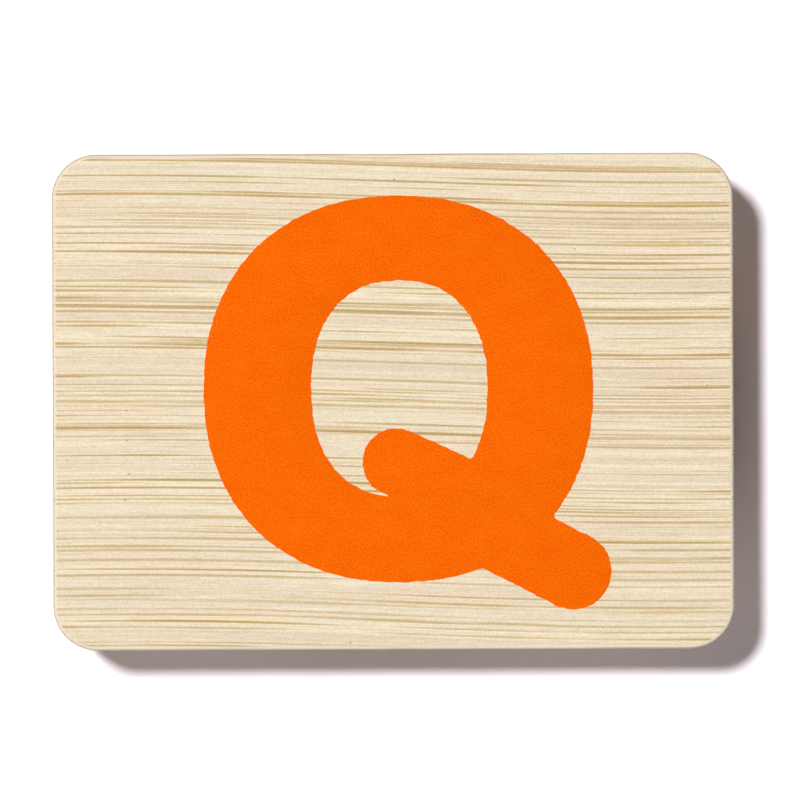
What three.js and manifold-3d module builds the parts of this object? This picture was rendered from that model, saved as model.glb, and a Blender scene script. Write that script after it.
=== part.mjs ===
// Letter train car: a low flat wagon for a wooden toy train.
// A printed three-ply bamboo deck is glued and screwed to a wooden beam. The beam carries two fixed
// steel axles with free wooden wheels, and a ring magnet in a steel cup at each end as the coupling.
// Millimetres. +X is the direction of travel, +Y is the car's left side and +Z is up.
// The origin is on the floor, under the middle of the deck.

import * as THREE from 'three';
import { mergeVertices } from 'three/addons/utils/BufferGeometryUtils.js';
import Module from 'manifold-3d';

const wasm = await Module();
wasm.setup();

// Deck board: plies, outline and sanded edges
const DECK_LENGTH = 70;
const DECK_WIDTH = 51;
const DECK_CORNER_RADIUS = 4.6;
const DECK_EDGE_RADIUS = 0.5;
const FACE_PLY_THICKNESS = 1.8;
const CORE_PLY_THICKNESS = 2.3;
const BACK_PLY_THICKNESS = 1.8;
const GLUE_LINE = 0.05;

// Printed letter: a round bowl with a counter, and a tail that crosses its lower right with a slight wave
const LETTER_WIDTH = 40;
const LETTER_TOP_MARGIN = 4.35;
const LETTER_FOOT_MARGIN = 6.95;
const LETTER_SHIFT = 0.55;
const SIDE_STROKE = 10.95;
const CROWN_STROKE = 8.8;
const BOWL_FULLNESS = 2.2;
const COUNTER_FULLNESS = 2.3;
const TAIL_HEAD_RADIUS = 3.5;
const TAIL_HEAD_SHIFT = 0.25;
const TAIL_HEAD_RISE = 3.6;
const TAIL_FOOT_RADIUS = 3.95;
const TAIL_FOOT_INSET = 2.15;
const TAIL_FOOT_RISE = 1.1;
const TAIL_RUN = 7.4;
const TAIL_FALL = 3.6;
const INK_FILM = 0.15;

// Wheels and axles
const WHEEL_DIAMETER = 16;
const WHEEL_WIDTH = 7;
const WHEEL_EDGE_RADIUS = 0.9;
const WHEEL_RIM = 1.8;
const WHEEL_DISH_DEPTH = 0.7;
const WHEEL_DISH_SLOPE = 0.4;
const WHEEL_HUB_MARGIN = 0.4;
const WHEEL_DECK_GAP = 1.2;
const AXLE_DIAMETER = 3;
const AXLE_CHAMFER = 0.3;
const AXLE_TO_DECK_END = 15;
const RUNNING_CLEARANCE = 0.1;
const SIDE_PLAY = 0.25;

// Washers and the domed caps that hold the wheels on
const WASHER_DIAMETER = 7;
const WASHER_THICKNESS = 0.8;
const CAP_DIAMETER = 6.6;
const CAP_LENGTH = 3.2;
const CAP_SKIRT = 1.2;
const CAP_BORE_DEPTH = 2;
const CAP_INSET = 2.9;

// Beam under the deck, with its edges eased
const BEAM_BELOW_AXLE = 4;
const BEAM_END_INSET = 0.5;
const BEAM_CHAMFER = 0.6;

// Screws from below through the beam into the deck
const DECK_SCREW_SPACING = 14;
const DECK_SCREW_DIAMETER = 2.6;
const DECK_SCREW_HEAD = 5;
const DECK_SCREW_BITE = 3.1;

// Magnet coupling at each end of the beam
const COUPLING_COVER = 1.2;
const CUP_DIAMETER = 9;
const CUP_DEPTH = 3.6;
const CUP_WALL = 0.8;
const CUP_FLOOR = 0.8;
const MAGNET_SCREW_DIAMETER = 2;
const MAGNET_SCREW_HEAD = 3.8;
const MAGNET_SCREW_LENGTH = 9;

// Screw heads and points, alike on every screw
const HEAD_SINK = 0.2;
const SCREW_POINT = 1.2;
const RECESS_MARGIN = 0.9;
const RECESS_SLOT = 0.5;
const RECESS_DEPTH = 0.7;

// Clearances between pieces that are fixed to each other
const FIT_GAP = 0.1;
const SCREW_GAP = 0.15;

// Fineness of the round shapes
const ROUND_SIDES = 24;
const WHEEL_SIDES = 32;
const CORNER_STEPS = 8;
const EDGE_STEPS = 2;
const DOME_STEPS = 4;
const LETTER_STEPS = 64;
const OVERCUT = 1;

// Heights above the floor
const axleHeight = WHEEL_DIAMETER / 2;
const deckBottom = WHEEL_DIAMETER + WHEEL_DECK_GAP;
const corePlyBottom = deckBottom + BACK_PLY_THICKNESS + GLUE_LINE;
const facePlyBottom = corePlyBottom + CORE_PLY_THICKNESS + GLUE_LINE;
const deckTop = facePlyBottom + FACE_PLY_THICKNESS;
const beamTop = deckBottom - GLUE_LINE;
const beamBottom = axleHeight - BEAM_BELOW_AXLE;
const couplingHeight = beamTop - COUPLING_COVER - FIT_GAP - CUP_DIAMETER / 2;

// Places along and across the car
const axleX = DECK_LENGTH / 2 - AXLE_TO_DECK_END;
const beamLength = DECK_LENGTH - 2 * BEAM_END_INSET;
const capEndY = DECK_WIDTH / 2 - CAP_INSET;
const capY = capEndY - CAP_LENGTH;
const wheelY = capY - SIDE_PLAY - WHEEL_WIDTH;
const washerY = wheelY - SIDE_PLAY - WASHER_THICKNESS;
const beamWidth = 2 * (washerY - FIT_GAP);
const axleLength = 2 * (capY + CAP_BORE_DEPTH - FIT_GAP);

const FINISHES = {
  bamboo: { color: 0xebdabd, roughness: 0.55, metalness: 0 },
  ink: { color: 0xfa6a04, roughness: 0.6, metalness: 0 },
  beech: { color: 0xd9b78a, roughness: 0.55, metalness: 0 },
  steel: { color: 0xb9bcc0, roughness: 0.35, metalness: 1 },
  nickel: { color: 0xc9c6bf, roughness: 0.22, metalness: 1 },
};

const car = new THREE.Group();

function addPiece(parent, name, geometry, finish) {
  const material = new THREE.MeshStandardMaterial(FINISHES[finish]);
  const mesh = new THREE.Mesh(geometry, material);
  mesh.name = name;
  parent.add(mesh);
  return mesh;
}

// Closed geometry to a solid that can be cut or joined, and back
function toSolid(geometry) {
  const bare = geometry.clone();
  bare.deleteAttribute('normal');
  bare.deleteAttribute('uv');
  const merged = mergeVertices(bare);
  const vertProperties = new Float32Array(merged.attributes.position.array);
  const triVerts = new Uint32Array(merged.index.array);
  return new wasm.Manifold(new wasm.Mesh({ numProp: 3, vertProperties, triVerts }));
}

function toGeometry(solid) {
  const { vertProperties, triVerts } = solid.getMesh();
  const geometry = new THREE.BufferGeometry();
  geometry.setAttribute('position', new THREE.BufferAttribute(vertProperties, 3));
  geometry.setIndex(new THREE.BufferAttribute(triVerts, 1));
  geometry.computeVertexNormals();
  return geometry;
}

function cut(geometry, ...tools) {
  let solid = toSolid(geometry);
  for (const tool of tools) {
    solid = solid.subtract(toSolid(tool));
  }
  return toGeometry(solid);
}

// Solid of revolution about the Y axis from [radius, height] pairs
function turned(profile, sides) {
  const points = profile.map(([radius, height]) => new THREE.Vector2(radius, height));
  return new THREE.LatheGeometry(points, sides);
}

// Ring of revolution whose profile closes on itself
function turnedRing(profile, sides) {
  return turned([...profile, profile[0]], sides);
}

// Quarter round of a turned profile about a centre, anticlockwise from the start angle
function roundedCorner(centreRadius, centreHeight, radius, startAngle) {
  const corner = [];
  for (let i = 0; i <= EDGE_STEPS; i += 1) {
    const angle = startAngle + (Math.PI / 2) * (i / EDGE_STEPS);
    corner.push([centreRadius + radius * Math.cos(angle), centreHeight + radius * Math.sin(angle)]);
  }
  return corner;
}

// Countersunk screw with its point at the origin and its head up the Y axis
function screw(length, diameter, headDiameter) {
  const shank = diameter / 2;
  const head = headDiameter / 2;
  const body = turned([
    [0, 0],
    [shank, SCREW_POINT],
    [shank, length - (head - shank)],
    [head, length],
    [0, length],
  ], ROUND_SIDES);
  const span = headDiameter - 2 * RECESS_MARGIN;
  const lengthwise = new THREE.BoxGeometry(span, 2 * RECESS_DEPTH, RECESS_SLOT);
  const crosswise = new THREE.BoxGeometry(RECESS_SLOT, 2 * RECESS_DEPTH, span);
  lengthwise.translate(0, length, 0);
  crosswise.translate(0, length, 0);
  return cut(body, lengthwise, crosswise);
}

// Cutter for that screw's hole and countersink, open above the sunk head
function screwHole(length, diameter, headDiameter) {
  const shank = diameter / 2;
  const head = headDiameter / 2;
  return turned([
    [0, -SCREW_GAP],
    [shank + SCREW_GAP, SCREW_POINT],
    [shank + SCREW_GAP, length - (head - shank)],
    [head + SCREW_GAP, length],
    [head + SCREW_GAP, length + HEAD_SINK + OVERCUT],
    [0, length + HEAD_SINK + OVERCUT],
  ], ROUND_SIDES);
}

// Deck screws stand upside down: the head is sunk in the beam's underside and the point is in the core ply
const deckScrewTip = deckBottom + DECK_SCREW_BITE;
const deckScrewLength = deckScrewTip - (beamBottom + HEAD_SINK);
const deckScrewPlaces = { front: DECK_SCREW_SPACING / 2, rear: -DECK_SCREW_SPACING / 2 };

function deckScrewHole(x) {
  const hole = screwHole(deckScrewLength, DECK_SCREW_DIAMETER, DECK_SCREW_HEAD);
  return hole.rotateX(-Math.PI / 2).translate(x, 0, deckScrewTip);
}

const deckScrewHoles = Object.values(deckScrewPlaces).map(deckScrewHole);

// Deck plies: one board with sanded edges, sliced into its three layers
function roundedPlate(length, width, radius) {
  const x = length / 2 - radius;
  const y = width / 2 - radius;
  const outline = new THREE.Shape();
  outline.absarc(x, y, radius, 0, Math.PI / 2);
  outline.absarc(-x, y, radius, Math.PI / 2, Math.PI);
  outline.absarc(-x, -y, radius, Math.PI, 1.5 * Math.PI);
  outline.absarc(x, -y, radius, 1.5 * Math.PI, 2 * Math.PI);
  return outline;
}

const deckThickness = deckTop - deckBottom;
const board = new THREE.ExtrudeGeometry(roundedPlate(DECK_LENGTH, DECK_WIDTH, DECK_CORNER_RADIUS), {
  depth: deckThickness - 2 * DECK_EDGE_RADIUS,
  curveSegments: CORNER_STEPS,
  bevelThickness: DECK_EDGE_RADIUS,
  bevelSize: DECK_EDGE_RADIUS,
  bevelOffset: -DECK_EDGE_RADIUS,
  bevelSegments: EDGE_STEPS,
});
board.translate(0, 0, deckBottom + DECK_EDGE_RADIUS);

function ply(bottom, top) {
  const slab = new THREE.BoxGeometry(DECK_LENGTH + OVERCUT, DECK_WIDTH + OVERCUT, top - bottom);
  slab.translate(0, 0, (bottom + top) / 2);
  return toGeometry(toSolid(board).intersect(toSolid(slab)));
}

const backPly = ply(deckBottom - OVERCUT, corePlyBottom - GLUE_LINE);
const corePly = ply(corePlyBottom, facePlyBottom - GLUE_LINE);
const facePly = ply(facePlyBottom, deckTop + OVERCUT);
addPiece(car, 'deck_face_ply', facePly, 'bamboo');
addPiece(car, 'deck_core_ply', cut(corePly, ...deckScrewHoles), 'bamboo');
addPiece(car, 'deck_back_ply', cut(backPly, ...deckScrewHoles), 'bamboo');

// Printed letter: a full round ring joined to two round-ended bars, the head and the foot of its tail
function fullRound(width, height, fullness, steps) {
  const points = [];
  for (let i = 0; i < steps; i += 1) {
    const angle = (2 * Math.PI * i) / steps;
    const across = Math.cos(angle);
    const up = Math.sin(angle);
    const x = (width / 2) * Math.sign(across) * Math.abs(across) ** (2 / fullness);
    const y = (height / 2) * Math.sign(up) * Math.abs(up) ** (2 / fullness);
    points.push(new THREE.Vector2(x, y));
  }
  return points;
}

function roundBar(start, end, radius) {
  const heading = Math.atan2(end.y - start.y, end.x - start.x);
  const outline = new THREE.Shape();
  outline.absarc(end.x, end.y, radius, heading - Math.PI / 2, heading + Math.PI / 2);
  outline.absarc(start.x, start.y, radius, heading + Math.PI / 2, heading + 1.5 * Math.PI);
  return outline;
}

const letterHeight = DECK_WIDTH - LETTER_TOP_MARGIN - LETTER_FOOT_MARGIN;
const letterY = (LETTER_FOOT_MARGIN - LETTER_TOP_MARGIN) / 2;
const counterWidth = LETTER_WIDTH - 2 * SIDE_STROKE;
const counterHeight = letterHeight - 2 * CROWN_STROKE;
const tailHead = new THREE.Vector2(-TAIL_HEAD_SHIFT, TAIL_HEAD_RISE - counterHeight / 2);
const tailFoot = new THREE.Vector2(LETTER_WIDTH / 2 - TAIL_FOOT_INSET, TAIL_FOOT_RISE - letterHeight / 2);
const tailRun = new THREE.Vector2(TAIL_RUN, -TAIL_FALL);
const tailBars = [
  roundBar(tailHead, tailHead.clone().add(tailRun), TAIL_HEAD_RADIUS),
  roundBar(tailFoot.clone().sub(tailRun), tailFoot, TAIL_FOOT_RADIUS),
];
const bowl = new THREE.Shape(fullRound(LETTER_WIDTH, letterHeight, BOWL_FULLNESS, LETTER_STEPS));
bowl.holes.push(new THREE.Path(fullRound(counterWidth, counterHeight, COUNTER_FULLNESS, LETTER_STEPS)));
const inkDepth = { depth: INK_FILM, bevelEnabled: false, curveSegments: CORNER_STEPS };
let letterSolid = toSolid(new THREE.ExtrudeGeometry(bowl, inkDepth));
for (const bar of tailBars) {
  letterSolid = letterSolid.add(toSolid(new THREE.ExtrudeGeometry(bar, inkDepth)));
}
const letter = addPiece(car, 'printed_letter', toGeometry(letterSolid), 'ink');
letter.position.set(LETTER_SHIFT, letterY, deckTop);

// Couplings: a steel cup let into the beam, a ring magnet in the cup and one screw through both.
// Each is modelled along +X with the coupling face at the deck's end, and turned about Z for the rear.
const cupRadius = CUP_DIAMETER / 2;
const magnetRadius = cupRadius - CUP_WALL - FIT_GAP;
const magnetThickness = CUP_DEPTH - CUP_FLOOR;
const magnetScrewTip = DECK_LENGTH / 2 - HEAD_SINK - MAGNET_SCREW_LENGTH;

// Axis of a turned piece laid along +X, starting at the given distance from the middle of the car
function laidAlong(geometry, start) {
  return geometry.rotateZ(-Math.PI / 2).translate(start, 0, 0);
}

function magnetScrewHole() {
  const hole = screwHole(MAGNET_SCREW_LENGTH, MAGNET_SCREW_DIAMETER, MAGNET_SCREW_HEAD);
  return laidAlong(hole, magnetScrewTip);
}

function cupPocket() {
  const pocket = turned([
    [0, 0],
    [cupRadius + FIT_GAP, 0],
    [cupRadius + FIT_GAP, CUP_DEPTH + OVERCUT],
    [0, CUP_DEPTH + OVERCUT],
  ], ROUND_SIDES);
  return laidAlong(pocket, DECK_LENGTH / 2 - CUP_DEPTH - FIT_GAP);
}

const couplingTurns = { front: 0, rear: Math.PI };
const couplingCuts = [];
for (const [end, turn] of Object.entries(couplingTurns)) {
  const cup = turned([
    [0, 0],
    [cupRadius, 0],
    [cupRadius, CUP_DEPTH],
    [cupRadius - CUP_WALL, CUP_DEPTH],
    [cupRadius - CUP_WALL, CUP_FLOOR],
    [0, CUP_FLOOR],
  ], ROUND_SIDES);
  const magnet = turned([
    [0, 0],
    [magnetRadius, 0],
    [magnetRadius, magnetThickness],
    [0, magnetThickness],
  ], ROUND_SIDES);
  const fixing = screw(MAGNET_SCREW_LENGTH, MAGNET_SCREW_DIAMETER, MAGNET_SCREW_HEAD);
  laidAlong(cup, DECK_LENGTH / 2 - CUP_DEPTH);
  laidAlong(magnet, DECK_LENGTH / 2 - magnetThickness);
  laidAlong(fixing, magnetScrewTip);
  const coupling = new THREE.Group();
  coupling.position.z = couplingHeight;
  coupling.rotation.z = turn;
  addPiece(coupling, `magnet_cup_${end}`, cut(cup, magnetScrewHole()), 'steel');
  addPiece(coupling, `magnet_${end}`, cut(magnet, magnetScrewHole()), 'nickel');
  addPiece(coupling, `magnet_screw_${end}`, fixing, 'steel');
  car.add(coupling);
  for (const cutter of [cupPocket(), magnetScrewHole()]) {
    couplingCuts.push(cutter.rotateZ(turn).translate(0, 0, couplingHeight));
  }
}

// Beam: a planed bar with eased edges, drilled across for the axles and from below for the deck screws
const beamOutline = new THREE.Shape();
beamOutline.moveTo(-beamWidth / 2 + BEAM_CHAMFER, beamBottom);
beamOutline.lineTo(beamWidth / 2 - BEAM_CHAMFER, beamBottom);
beamOutline.lineTo(beamWidth / 2, beamBottom + BEAM_CHAMFER);
beamOutline.lineTo(beamWidth / 2, beamTop);
beamOutline.lineTo(-beamWidth / 2, beamTop);
beamOutline.lineTo(-beamWidth / 2, beamBottom + BEAM_CHAMFER);
const beam = new THREE.ExtrudeGeometry(beamOutline, { depth: beamLength, bevelEnabled: false });
const acrossCar = new THREE.Vector3(0, 1, 0);
const upCar = new THREE.Vector3(0, 0, 1);
const alongCar = new THREE.Vector3(1, 0, 0);
beam.translate(0, 0, -beamLength / 2);
beam.applyMatrix4(new THREE.Matrix4().makeBasis(acrossCar, upCar, alongCar));

const axlePlaces = { front: axleX, rear: -axleX };

function axleHole(x) {
  const radius = AXLE_DIAMETER / 2 + FIT_GAP;
  const hole = new THREE.CylinderGeometry(radius, radius, beamWidth + OVERCUT, ROUND_SIDES);
  return hole.translate(x, 0, axleHeight);
}

const axleHoles = Object.values(axlePlaces).map(axleHole);
addPiece(car, 'underframe_beam', cut(beam, ...axleHoles, ...deckScrewHoles, ...couplingCuts), 'beech');

for (const [end, x] of Object.entries(deckScrewPlaces)) {
  const fixing = screw(deckScrewLength, DECK_SCREW_DIAMETER, DECK_SCREW_HEAD);
  fixing.rotateX(-Math.PI / 2);
  const deckScrew = addPiece(car, `deck_screw_${end}`, fixing, 'steel');
  deckScrew.position.set(x, 0, deckScrewTip);
}

// Wheel: a turned disc with round tread edges and a shallow dish in its outer face
const boreRadius = AXLE_DIAMETER / 2 + RUNNING_CLEARANCE;
const wheelRadius = WHEEL_DIAMETER / 2;
const treadRadius = wheelRadius - WHEEL_EDGE_RADIUS;
const dishOuter = wheelRadius - WHEEL_RIM;
const dishInner = CAP_DIAMETER / 2 + WHEEL_HUB_MARGIN;
const dishSlope = Math.min(WHEEL_DISH_SLOPE, (dishOuter - dishInner) / 3);
const dishFloor = WHEEL_WIDTH - WHEEL_DISH_DEPTH;

function wheelGeometry() {
  return turnedRing([
    [boreRadius, 0],
    ...roundedCorner(treadRadius, WHEEL_EDGE_RADIUS, WHEEL_EDGE_RADIUS, -Math.PI / 2),
    ...roundedCorner(treadRadius, WHEEL_WIDTH - WHEEL_EDGE_RADIUS, WHEEL_EDGE_RADIUS, 0),
    [dishOuter, WHEEL_WIDTH],
    [dishOuter - dishSlope, dishFloor],
    [dishInner + dishSlope, dishFloor],
    [dishInner, WHEEL_WIDTH],
    [boreRadius, WHEEL_WIDTH],
  ], WHEEL_SIDES);
}

function washerGeometry() {
  return turnedRing([
    [boreRadius, 0],
    [WASHER_DIAMETER / 2, 0],
    [WASHER_DIAMETER / 2, WASHER_THICKNESS],
    [boreRadius, WASHER_THICKNESS],
  ], ROUND_SIDES);
}

// Cap: a short skirt closed by a dome, with a blind bore that is pushed onto the axle's end
function capGeometry() {
  const bore = AXLE_DIAMETER / 2 + FIT_GAP;
  const skirt = CAP_DIAMETER / 2;
  const dome = [];
  for (let i = 0; i < DOME_STEPS; i += 1) {
    const angle = (Math.PI / 2) * (i / DOME_STEPS);
    dome.push([skirt * Math.cos(angle), CAP_SKIRT + (CAP_LENGTH - CAP_SKIRT) * Math.sin(angle)]);
  }
  return turned([
    [0, CAP_BORE_DEPTH],
    [bore, CAP_BORE_DEPTH],
    [bore, 0],
    [skirt, 0],
    ...dome,
    [0, CAP_LENGTH],
  ], ROUND_SIDES);
}

function axleGeometry() {
  const radius = AXLE_DIAMETER / 2;
  return turned([
    [0, -axleLength / 2],
    [radius - AXLE_CHAMFER, -axleLength / 2],
    [radius, AXLE_CHAMFER - axleLength / 2],
    [radius, axleLength / 2 - AXLE_CHAMFER],
    [radius - AXLE_CHAMFER, axleLength / 2],
    [0, axleLength / 2],
  ], ROUND_SIDES);
}

// Wheelsets: everything on one axle, with the right side turned about the upright
const sideTurns = { left: 0, right: Math.PI };
for (const [end, x] of Object.entries(axlePlaces)) {
  const wheelset = new THREE.Group();
  wheelset.position.set(x, 0, axleHeight);
  addPiece(wheelset, `axle_${end}`, axleGeometry(), 'steel');
  for (const [sideName, turn] of Object.entries(sideTurns)) {
    const side = new THREE.Group();
    side.rotation.z = turn;
    addPiece(side, `washer_${end}_${sideName}`, washerGeometry(), 'steel').position.y = washerY;
    addPiece(side, `wheel_${end}_${sideName}`, wheelGeometry(), 'beech').position.y = wheelY;
    addPiece(side, `axle_cap_${end}_${sideName}`, capGeometry(), 'steel').position.y = capY;
    wheelset.add(side);
  }
  car.add(wheelset);
}

export default car;
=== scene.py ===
"""Letter train car: a printed bamboo deck on a beech beam with free wheels and magnet couplings.

Metres, +X along the direction of travel, +Y to the car's left, +Z up from the floor.
"""

import math

import bmesh
import bpy
from mathutils import Matrix, Vector, noise


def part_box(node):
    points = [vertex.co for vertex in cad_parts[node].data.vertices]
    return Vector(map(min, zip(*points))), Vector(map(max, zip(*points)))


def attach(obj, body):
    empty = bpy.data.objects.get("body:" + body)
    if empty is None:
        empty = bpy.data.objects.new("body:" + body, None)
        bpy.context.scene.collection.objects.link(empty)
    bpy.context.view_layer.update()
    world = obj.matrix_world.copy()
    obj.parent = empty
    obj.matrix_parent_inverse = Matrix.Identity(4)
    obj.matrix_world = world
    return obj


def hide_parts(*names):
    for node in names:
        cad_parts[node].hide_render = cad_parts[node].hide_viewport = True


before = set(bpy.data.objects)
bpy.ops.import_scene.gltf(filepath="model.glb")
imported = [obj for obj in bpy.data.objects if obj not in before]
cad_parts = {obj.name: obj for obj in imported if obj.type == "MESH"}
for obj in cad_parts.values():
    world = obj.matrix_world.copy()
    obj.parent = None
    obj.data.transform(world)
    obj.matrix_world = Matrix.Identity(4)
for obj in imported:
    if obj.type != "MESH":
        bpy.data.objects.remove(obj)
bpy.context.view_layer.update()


# Deck boards
# Three layers of bamboo strip, pressed and glued into one board: the grain of the face and back runs
# along the car and that of the core across it. The board is sawn to a plate with round corners, and
# its outer arrises are sanded by hand, so that they wander a little.
MM = 0.001
DECK_CORNER = 4.6 * MM
SANDED_EDGE = 0.5 * MM
PLY_EDGE = 0.05 * MM
EDGE_WANDER = 0.05 * MM
OUTLINE_SPACING = 0.8 * MM
GRAIN_LEAN = math.radians(0.5)
# How much paler the arris is painted: partly sanded fibre, partly a painted highlight along the edge.
ARRIS_PALE_AND_HIGHLIGHT = 0.75
SIDE_DARK = 0.42
WOOD_RELIEF = 0.02 * MM
CORNER_STEPS = 22
EASE_STEPS = 5
SANDING_SWELL = 9 * MM
SHARP_ANGLE = math.radians(38)


def display(red, green, blue):
    """Colour seen on a display, in 8-bit values, as the linear colour that a shader takes."""
    shades = [value / 255 for value in (red, green, blue)]
    linear = [s / 12.92 if s < 0.04045 else ((s + 0.055) / 1.055) ** 2.4 for s in shades]
    return (*linear, 1.0)


def wire(tree, kind, inputs, **options):
    """Add a shader node with its options, and give each named input a value or a link."""
    made = tree.nodes.new(kind)
    for option, value in options.items():
        setattr(made, option, value)
    for name, value in inputs.items():
        if isinstance(value, bpy.types.NodeSocket):
            tree.links.new(value, made.inputs[name])
        else:
            made.inputs[name].default_value = value
    return made


def calc(tree, operation, first, second=0.0):
    return wire(tree, "ShaderNodeMath", {0: first, 1: second}, operation=operation).outputs[0]


def scaled(tree, vector, factors):
    return wire(tree, "ShaderNodeVectorMath", {0: vector, 1: factors}, operation="MULTIPLY").outputs[0]


def ramp(tree, value, start, end, low=0.0, high=1.0):
    """Smooth step of a value from low at start to high at end."""
    inputs = {"Value": value, "From Min": start, "From Max": end, "To Min": low, "To Max": high}
    return wire(tree, "ShaderNodeMapRange", inputs, interpolation_type="SMOOTHSTEP").outputs[0]


def blend(tree, share, first, second, mode="MIX"):
    mixed = wire(tree, "ShaderNodeMix", {0: share, 6: first, 7: second}, data_type="RGBA", blend_type=mode)
    return mixed.outputs[2]


def stretched(tree, vector, run, width):
    """Vector in units of a run along X and a width across it."""
    return scaled(tree, vector, (1 / run, 1 / width, 1 / width))


def cloud(tree, vector, detail=2.0):
    """Soft noise from 0 to 1, one swell to each unit of the vector."""
    return wire(tree, "ShaderNodeTexNoise", {"Vector": vector, "Scale": 1.0, "Detail": detail}).outputs[0]


def cells(tree, vector, randomness):
    """Voronoi cells in a plane, one to each unit of the vector."""
    inputs = {"Vector": vector, "Scale": 1.0, "Randomness": randomness}
    return wire(tree, "ShaderNodeTexVoronoi", inputs, voronoi_dimensions="2D")


def shader_group(name, inputs, outputs):
    """New shader node group with named sockets: the group, its inputs and its outputs."""
    group = bpy.data.node_groups.new(name, "ShaderNodeTree")
    for title, kind in inputs.items():
        group.interface.new_socket(title, in_out="INPUT", socket_type="NodeSocket" + kind)
    for title, kind in outputs.items():
        group.interface.new_socket(title, in_out="OUTPUT", socket_type="NodeSocket" + kind)
    given = group.nodes.new("NodeGroupInput").outputs
    result = group.nodes.new("NodeGroupOutput").inputs
    return group, given, result


def new_finish(name):
    """New material: its tree, its Principled shader and the piece's own coordinates in millimetres."""
    material = bpy.data.materials.new(name)
    material.use_nodes = True
    tree = material.node_tree
    own = tree.nodes.new("ShaderNodeTexCoord").outputs["Object"]
    return material, tree, tree.nodes["Principled BSDF"], scaled(tree, own, (1 / MM, 1 / MM, 1 / MM))


def relief(tree, shader, height, depth, strength=1.0):
    """Fine relief of a finish, as a bump of the given depth."""
    inputs = {"Height": height, "Distance": depth, "Strength": strength}
    tree.links.new(wire(tree, "ShaderNodeBump", inputs).outputs[0], shader.inputs["Normal"])


# Bamboo figure, in millimetres with the grain along X: fibre bundles are long thin golden rods in pale
# flesh, each darkest in its middle and with a lighter rim of flesh round it. They drift a little from side to
# side and in and out of the surface. Each layer of bundles gives their spacing, their least and greatest
# radius, the share left out, the depth of colour and a shift.
BUNDLE_LAYERS = (
    (0.66, 0.135, 0.165, 0.03, 1.0, 3.4),
    (0.5, 0.115, 0.135, 0.1, 0.9, 17.3),
    (0.34, 0.085, 0.1, 0.6, 0.75, 41.9),
)
BUNDLE_SCATTER = 0.75
FAINTEST = 0.42
FIBRE_EDGE = (1.25, 0.7)
HEART_EDGE = (0.95, 0.4)
HEART_DEPTH = 0.45
HALO = 0.26
DRIFT_RUN = 55.0
DRIFT_WIDTH = 22.0
DRIFT_SIDEWAYS = 0.9
BOW_RUN = 100.0
BOW = 0.42
DIP_RUN = 40.0
DIP_WIDTH = 1.1
DIP = 0.55
FADE_RUN = 17.0
SWELLING = (0.8, 1.1)
SPECK_RUN = 4.6
SPECK_WIDTH = 3.4
SPECK_SHARE = 0.14
SPECK_SIZES = (0.012, 0.04)
SPECK_DEPTH = 0.8
FLAT_ENOUGH = 0.9
TONE_RUN = 24.0
TONE_WIDTH = 1.6
THREAD_RUN = 3.0
THREAD_WIDTH = 0.1
DUST_RUN = 0.2
DUST_WIDTH = 0.13
DUST_SHARE = 0.55
FINE_SHADES = (0.84, 1.11)
RED_POWER = 0.8
BLUE_POWER = 1.35

bamboo_colours = dict.fromkeys(("Flesh", "Blush", "Rim", "Fibre", "Heart"), "Color")
bamboo_figure, given, result = shader_group(
    "bamboo_figure",
    {"Vector": "Vector", **bamboo_colours},
    {"Color": "Color", "Height": "Float", "Roughness": "Float"},
)
tree = bamboo_figure
grain = given["Vector"]
spot = wire(tree, "ShaderNodeSeparateXYZ", {0: grain}).outputs
drift = cloud(tree, stretched(tree, grain, DRIFT_RUN, DRIFT_WIDTH), 0.5)
bow_turn = calc(tree, "MULTIPLY", spot["X"], 2 * math.pi / BOW_RUN)
bow = calc(tree, "MULTIPLY", calc(tree, "SINE", bow_turn), BOW)
wander = calc(tree, "MULTIPLY", calc(tree, "SUBTRACT", drift, 0.5), DRIFT_SIDEWAYS)
across = calc(tree, "ADD", spot["Y"], calc(tree, "ADD", bow, wander))
dip = cloud(tree, stretched(tree, grain, DIP_RUN, DIP_WIDTH), 1.0)
depth = calc(tree, "ADD", spot["Z"], calc(tree, "MULTIPLY", calc(tree, "SUBTRACT", dip, 0.5), DIP))
bundle_fill, heart_line, pale_rim = 0.0, 0.0, 0.0
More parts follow.
